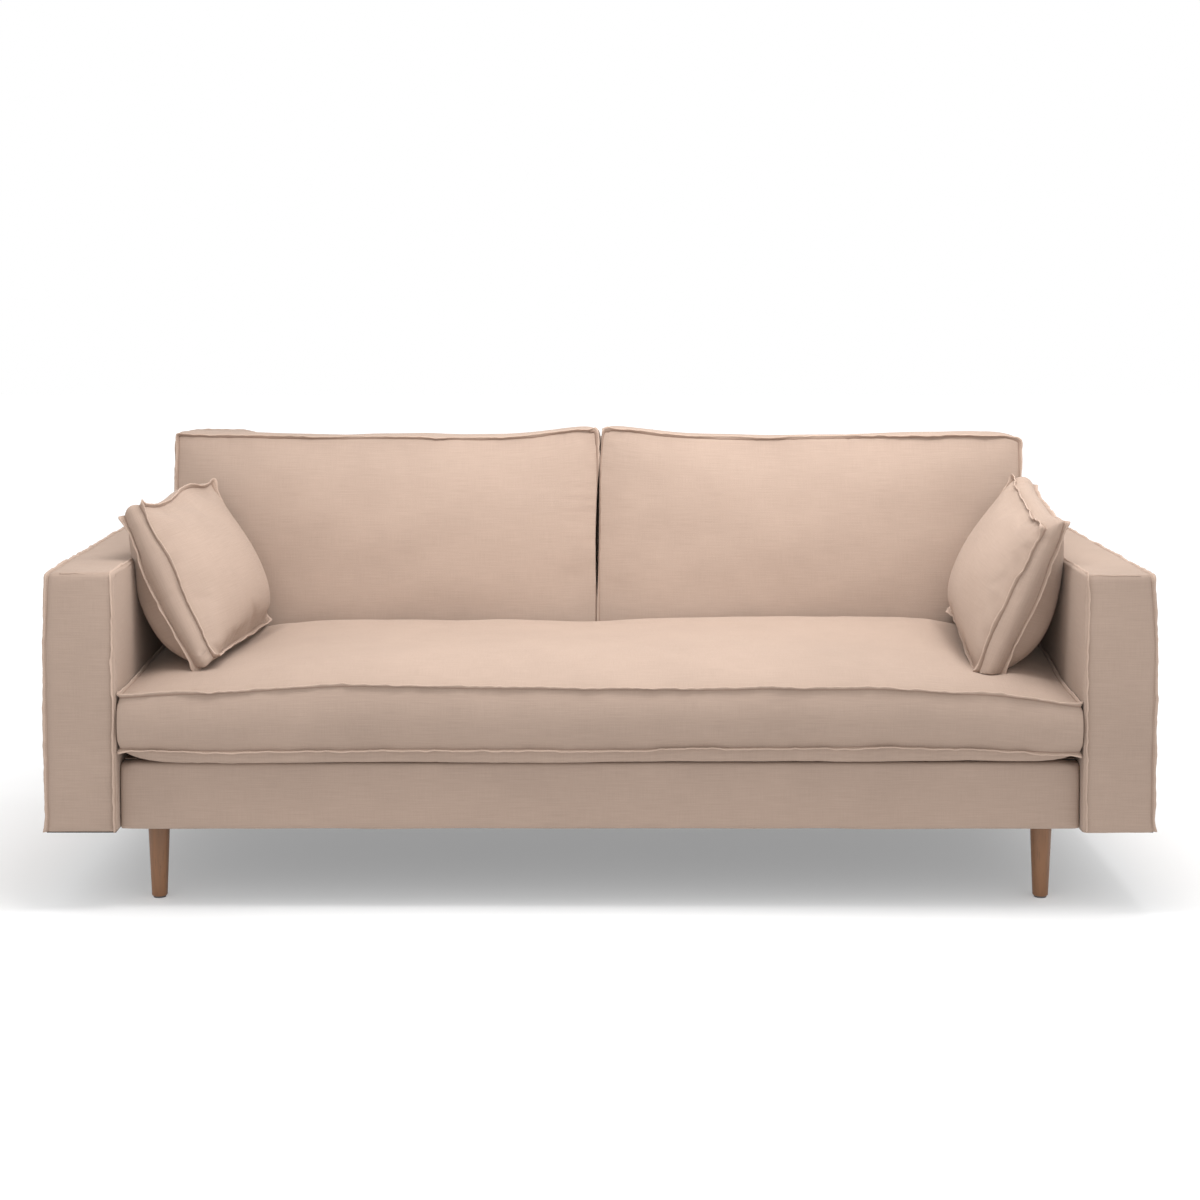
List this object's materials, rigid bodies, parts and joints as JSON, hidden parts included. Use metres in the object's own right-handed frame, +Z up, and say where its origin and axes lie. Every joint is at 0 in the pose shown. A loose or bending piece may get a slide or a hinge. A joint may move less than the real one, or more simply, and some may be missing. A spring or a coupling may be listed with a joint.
{
  "type": "three-seat sofa",
  "caption": "Upholstered sofa with slim square arms, a bench seat cushion, loose back cushions, throw cushions and tapered wooden legs, for sitting and lounging.",
  "frame": {"origin": "on the floor, under the centre of the sofa's box", "axes": "+X to the right as seen from the front, +Y to the rear, +Z up; the front faces -Y"},
  "size_m": [2.15, 0.93, 0.876],
  "materials": {
    "upholstery": "plain weave, matte",
    "leg_wood": "satin lacquer",
    "frame_timber": "planed, unfinished",
    "hardboard": "smooth pressed board",
    "foam": "open-cell foam",
    "wadding": "polyester fibre",
    "webbing": "elastic weave",
    "deck_cloth": "plain weave",
    "felt": "pressed felt",
    "dust_cloth": "spun-bonded",
    "zinc_steel": "zinc plated",
    "zip_tape": "woven tape with a nylon coil",
    "zip_metal": "nickel plated"
  },
  "bodies": {
    "frame": {"front_rail": "frame_timber", "rear_rail": "frame_timber", "side_rails": "frame_timber", "cross_rails": "frame_timber", "corner_blocks": "frame_timber", "seat_webbing_long": "webbing", "seat_webbing_cross": "webbing", "deck_felt": "felt", "deck_cloth": "deck_cloth", "front_border_padding": "foam", "front_border_cover": "upholstery", "dust_cloths": "dust_cloth", "left_arm_posts": "frame_timber", "left_arm_boards": "frame_timber", "left_arm_mounting_rail": "frame_timber", "left_arm_panels": "hardboard", "left_arm_padding": "foam", "left_arm_cover": "upholstery", "right_arm_posts": "frame_timber", "right_arm_boards": "frame_timber", "right_arm_mounting_rail": "frame_timber", "right_arm_panels": "hardboard", "right_arm_padding": "foam", "right_arm_cover": "upholstery", "back_ribs": "frame_timber", "back_rails": "frame_timber", "back_webbing": "webbing", "back_rear_panel": "hardboard", "back_padding": "foam", "back_cover": "upholstery", "arm_bolts": "zinc_steel", "arm_bolt_washers": "zinc_steel", "arm_bolt_nuts": "zinc_steel", "leg_front_left": "leg_wood", "leg_front_right": "leg_wood", "leg_rear_left": "leg_wood", "leg_rear_right": "leg_wood", "leg_bolts": "zinc_steel", "leg_nuts": "zinc_steel", "leg_glides": "felt"},
    "seat_cushion": {"seat_cushion_cover": "upholstery", "seat_cushion_core": "foam", "seat_cushion_zip": "zip_tape"},
    "back_cushion_left": {"back_cushion_left_cover": "upholstery", "back_cushion_left_filling": "wadding", "back_cushion_left_zip": "zip_tape"},
    "back_cushion_right": {"back_cushion_right_cover": "upholstery", "back_cushion_right_filling": "wadding", "back_cushion_right_zip": "zip_tape"},
    "throw_cushion_left": {"throw_left_cover": "upholstery", "throw_left_filling": "wadding", "throw_left_zip": "zip_tape"},
    "throw_cushion_right": {"throw_right_cover": "upholstery", "throw_right_filling": "wadding", "throw_right_zip": "zip_tape"},
    "seat_slider": {"seat_zip_slider": "zip_metal"},
    "back_slider_left": {"back_zip_slider_left": "zip_metal"},
    "back_slider_right": {"back_zip_slider_right": "zip_metal"},
    "throw_slider_left": {"throw_zip_slider_left": "zip_metal"},
    "throw_slider_right": {"throw_zip_slider_right": "zip_metal"}
  },
  "joints": [
    {"name": "seat_cushion_lift", "type": "slide", "parent": "frame", "child": "seat_cushion", "axis": [0, 0, 1], "range_m": [0, 0.35]},
    {"name": "back_cushion_left_lift", "type": "slide", "parent": "frame", "child": "back_cushion_left", "axis": [0, 0.0924, 0.9957], "range_m": [0, 0.6]},
    {"name": "back_cushion_right_lift", "type": "slide", "parent": "frame", "child": "back_cushion_right", "axis": [0, 0.0924, 0.9957], "range_m": [0, 0.6]},
    {"name": "throw_cushion_left_lift", "type": "slide", "parent": "seat_cushion", "child": "throw_cushion_left", "axis": [0, 0, 1], "range_m": [0, 0.35]},
    {"name": "throw_cushion_right_lift", "type": "slide", "parent": "seat_cushion", "child": "throw_cushion_right", "axis": [0, 0, 1], "range_m": [0, 0.35]},
    {"name": "seat_zip_slide", "type": "slide", "parent": "seat_cushion", "child": "seat_slider", "axis": [-1, 0, 0], "range_m": [0, 1.44]},
    {"name": "back_left_zip_slide", "type": "slide", "parent": "back_cushion_left", "child": "back_slider_left", "axis": [1, 0, 0], "range_m": [0, 0.64]},
    {"name": "back_right_zip_slide", "type": "slide", "parent": "back_cushion_right", "child": "back_slider_right", "axis": [-1, 0, 0], "range_m": [0, 0.64]},
    {"name": "throw_left_zip_slide", "type": "slide", "parent": "throw_cushion_left", "child": "throw_slider_left", "axis": [0.1083, 0.994, -0.0159], "range_m": [0, 0.28]},
    {"name": "throw_right_zip_slide", "type": "slide", "parent": "throw_cushion_right", "child": "throw_slider_right", "axis": [-0.0001, 0.997, 0.078], "range_m": [0, 0.28]}
  ]
}
